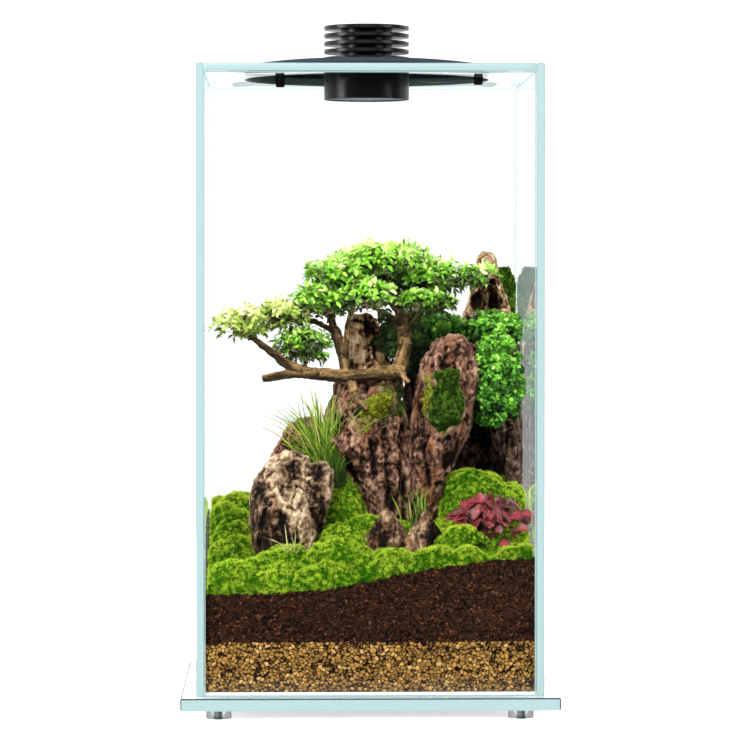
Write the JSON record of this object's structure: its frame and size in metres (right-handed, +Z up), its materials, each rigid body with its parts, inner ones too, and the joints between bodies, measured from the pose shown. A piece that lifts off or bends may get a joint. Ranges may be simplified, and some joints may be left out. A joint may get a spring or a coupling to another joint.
{
  "type": "planted glass terrarium",
  "caption": "Tall square glass case on a base plate with feet, layered gravel and soil, stones, moss, a small tree and plants, and a lift-out lamp in the lid.",
  "frame": {"origin": "on the floor under the middle of the base plate", "axes": "+Z up, +X to the right and +Y to the back seen from the front"},
  "size_m": [0.24, 0.24, 0.4454],
  "materials": {
    "case_glass": "clear float glass with aqua cut edges",
    "foot_metal": "polished",
    "silicone": "clear white silicone",
    "lamp_metal": "black anodised",
    "lens": "smooth diffuser",
    "gravel": "ochre baked clay grains",
    "soil": "dark brown granules",
    "grey_stone": "rough, grey tan",
    "red_stone": "rough, red brown",
    "pale_stone": "rough, pale ochre",
    "bark": "fissured bark",
    "leaf_green": "leaf",
    "young_green": "young leaf",
    "creeper_green": "small dark leaf",
    "moss_green": "bright moss",
    "dark_moss": "dark moss",
    "yellow_moss": "yellow moss",
    "grass_green": "grass blade",
    "pale_grass": "dry grass blade",
    "red_leaf": "veined red leaf"
  },
  "bodies": {
    "root": {"base_plate": "case_glass", "panel_left": "case_glass", "panel_right": "case_glass", "panel_front": "case_glass", "panel_back": "case_glass", "lid": "case_glass", "foot_front_left": "foot_metal", "foot_front_right": "foot_metal", "foot_back_left": "foot_metal", "foot_back_right": "foot_metal", "silicone_bead": "silicone", "lamp_heat_sink": "lamp_metal", "lamp_body": "lamp_metal", "lamp_lens": "lens", "lamp_saucer": "lamp_metal", "gravel_bed": "gravel", "soil_bed": "soil", "stone_centre": "red_stone", "stone_column": "red_stone", "stone_peak": "pale_stone", "stone_ledge": "red_stone", "stone_front_left": "grey_stone", "stone_left_slope": "red_stone", "stone_spire": "pale_stone", "stone_right": "red_stone", "small_stone_left": "grey_stone", "small_stone_right": "grey_stone", "mossed_slab": "dark_moss", "tree_wood": "bark", "moss_carpet": "moss_green", "moss_cushion": "moss_green", "moss_patch": "dark_moss", "moss_streak": "yellow_moss", "leaf_pad_top": "leaf_green", "leaf_pad_top_left": "leaf_green", "leaf_pad_right": "leaf_green", "leaf_pad_right_tip": "leaf_green", "leaf_pad_left": "leaf_green", "leaf_pad_front": "leaf_green", "leaf_pad_right_low": "leaf_green", "leaf_pad_back": "leaf_green", "leaf_pad_outer_left": "young_green", "leaf_pad_far_left": "young_green", "leaf_pad_low": "leaf_green", "creeper_ledge_left": "creeper_green", "creeper_ledge_right": "creeper_green", "creeper_hanging": "creeper_green", "dark_tuft": "creeper_green", "grass_tuft": "grass_green", "small_grass": "grass_green", "pale_grass": "pale_grass", "red_leaved_plant": "red_leaf"}
  },
  "joints": []
}
